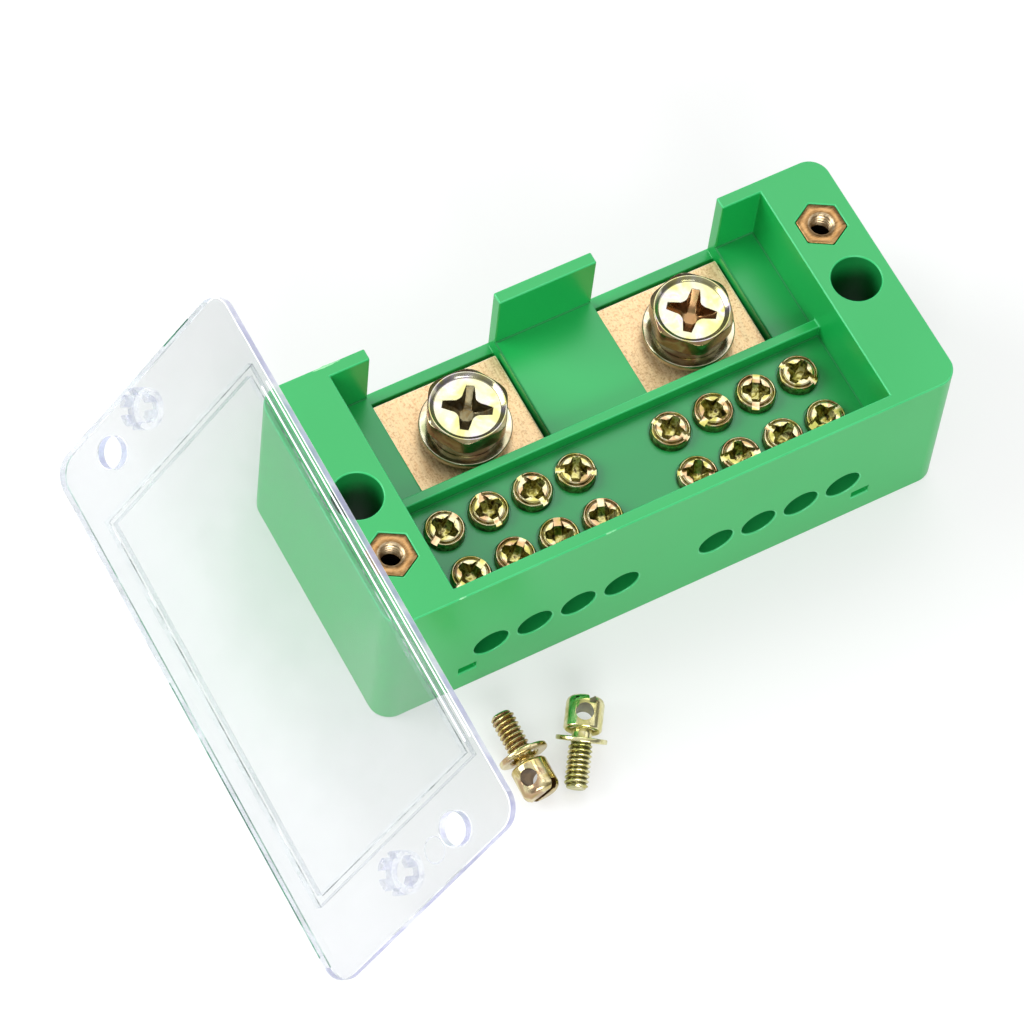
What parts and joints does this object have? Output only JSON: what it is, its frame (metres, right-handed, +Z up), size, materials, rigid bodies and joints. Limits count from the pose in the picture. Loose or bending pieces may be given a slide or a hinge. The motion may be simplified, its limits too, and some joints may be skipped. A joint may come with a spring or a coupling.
{
  "type": "power distribution block",
  "caption": "Low green moulded terminal block with bolt lugs in bays at the back, clamped wire holes along the front and a clear cover taken off and leaning on one end.",
  "frame": {"origin": "middle of the housing's underside", "axes": "+X along the housing, wire holes face -Y, +Z up"},
  "size_m": [0.1328, 0.1036, 0.0388],
  "materials": {
    "green_plastic": "semi-gloss",
    "bar_metal": "satin, faintly brushed",
    "zinc_bolt": "yellow zinc plate",
    "zinc_screw": "yellow zinc plate",
    "insert_brass": "machined",
    "clear_plastic": "clear, polished"
  },
  "bodies": {
    "root": {"housing": "green_plastic", "base_plate": "green_plastic", "left_terminal_bar": "bar_metal", "right_terminal_bar": "bar_metal", "left_main_bolt": "zinc_bolt", "right_main_bolt": "zinc_bolt", "left_spring_washer": "zinc_bolt", "right_spring_washer": "zinc_bolt", "left_flat_washer": "zinc_bolt", "right_flat_washer": "zinc_bolt", "way_1_clamp_screws": "zinc_screw", "way_2_clamp_screws": "zinc_screw", "way_3_clamp_screws": "zinc_screw", "way_4_clamp_screws": "zinc_screw", "way_5_clamp_screws": "zinc_screw", "way_6_clamp_screws": "zinc_screw", "way_7_clamp_screws": "zinc_screw", "way_8_clamp_screws": "zinc_screw", "left_cover_insert": "insert_brass", "right_cover_insert": "insert_brass", "cover": "clear_plastic", "first_seal_screw": "zinc_screw", "first_seal_washer": "zinc_screw", "second_seal_screw": "zinc_screw", "second_seal_washer": "zinc_screw"}
  },
  "joints": []
}
